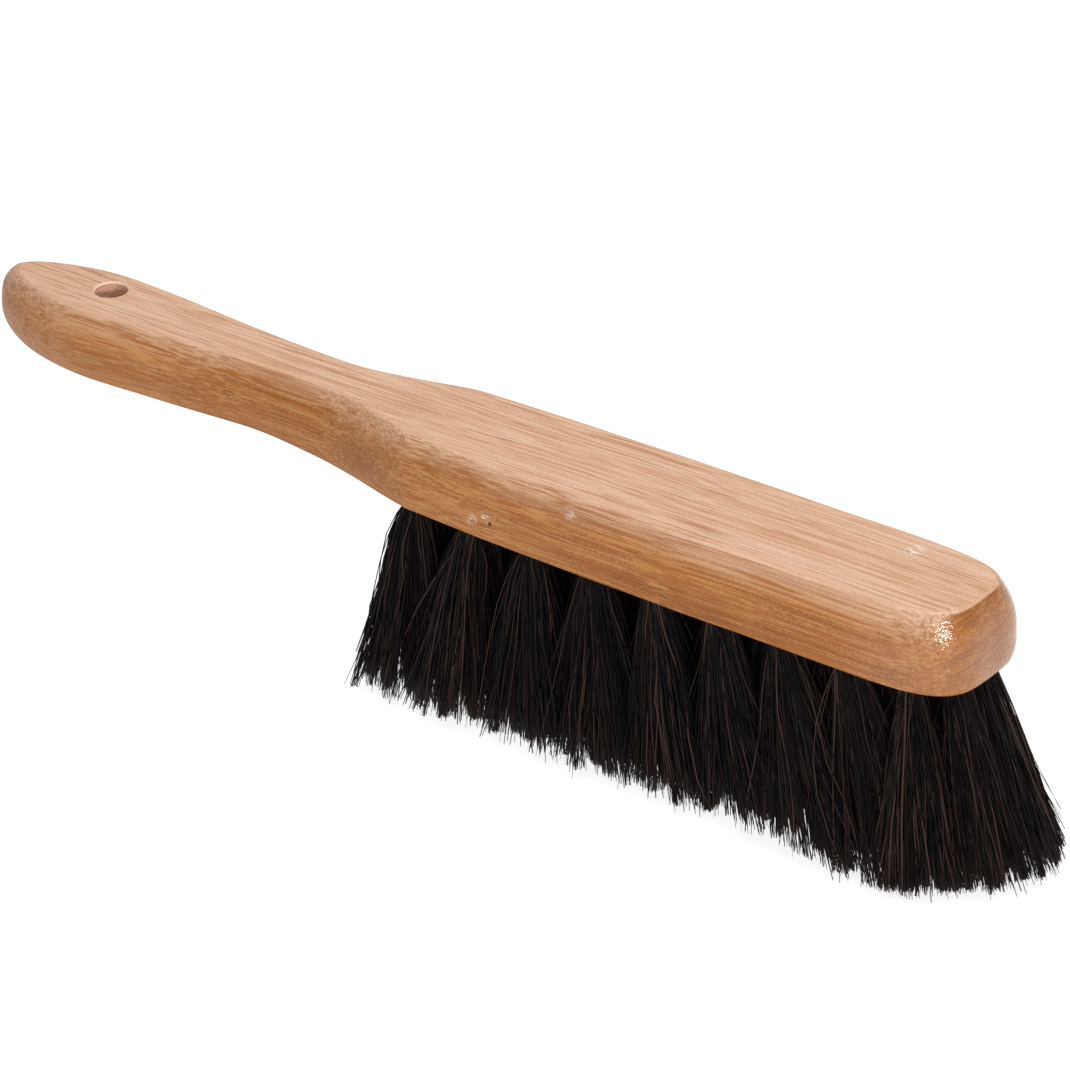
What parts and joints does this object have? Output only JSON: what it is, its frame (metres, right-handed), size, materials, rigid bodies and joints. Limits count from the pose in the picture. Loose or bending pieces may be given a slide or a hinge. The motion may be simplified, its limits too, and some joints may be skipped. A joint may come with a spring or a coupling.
{
  "type": "bee brush",
  "caption": "Flat wooden hand brush with a waisted handle, a hang hole and a long block set with fanned tufts of stiff black bristle.",
  "frame": {"origin": "middle of the brush's box, on the surface that the trimmed bristle tips stand on", "axes": "+X along the brush from the handle towards the bristled end, +Y across it, +Z from the bristle tips up through the wooden back"},
  "size_m": [0.3447, 0.0434, 0.08],
  "materials": {
    "wood": "clear satin varnish over light straight-grained hardwood",
    "bristle": "stiff black-brown fibre, faintly glossy",
    "anchor_wire": "flat drawn wire"
  },
  "bodies": {
    "root": {"handle_block": "wood", "tuft_anchors": "anchor_wire", "tuft_row1_01": "bristle", "tuft_row1_02": "bristle", "tuft_row1_03": "bristle", "tuft_row1_04": "bristle", "tuft_row1_05": "bristle", "tuft_row1_06": "bristle", "tuft_row1_07": "bristle", "tuft_row1_08": "bristle", "tuft_row1_09": "bristle", "tuft_row2_01": "bristle", "tuft_row2_02": "bristle", "tuft_row2_03": "bristle", "tuft_row2_04": "bristle", "tuft_row2_05": "bristle", "tuft_row2_06": "bristle", "tuft_row2_07": "bristle", "tuft_row2_08": "bristle", "tuft_row2_09": "bristle", "tuft_row2_10": "bristle", "tuft_row3_01": "bristle", "tuft_row3_02": "bristle", "tuft_row3_03": "bristle", "tuft_row3_04": "bristle", "tuft_row3_05": "bristle", "tuft_row3_06": "bristle", "tuft_row3_07": "bristle", "tuft_row3_08": "bristle", "tuft_row3_09": "bristle", "tuft_row3_10": "bristle", "tuft_row4_01": "bristle", "tuft_row4_02": "bristle", "tuft_row4_03": "bristle", "tuft_row4_04": "bristle", "tuft_row4_05": "bristle", "tuft_row4_06": "bristle", "tuft_row4_07": "bristle", "tuft_row4_08": "bristle", "tuft_row4_09": "bristle"}
  },
  "joints": []
}
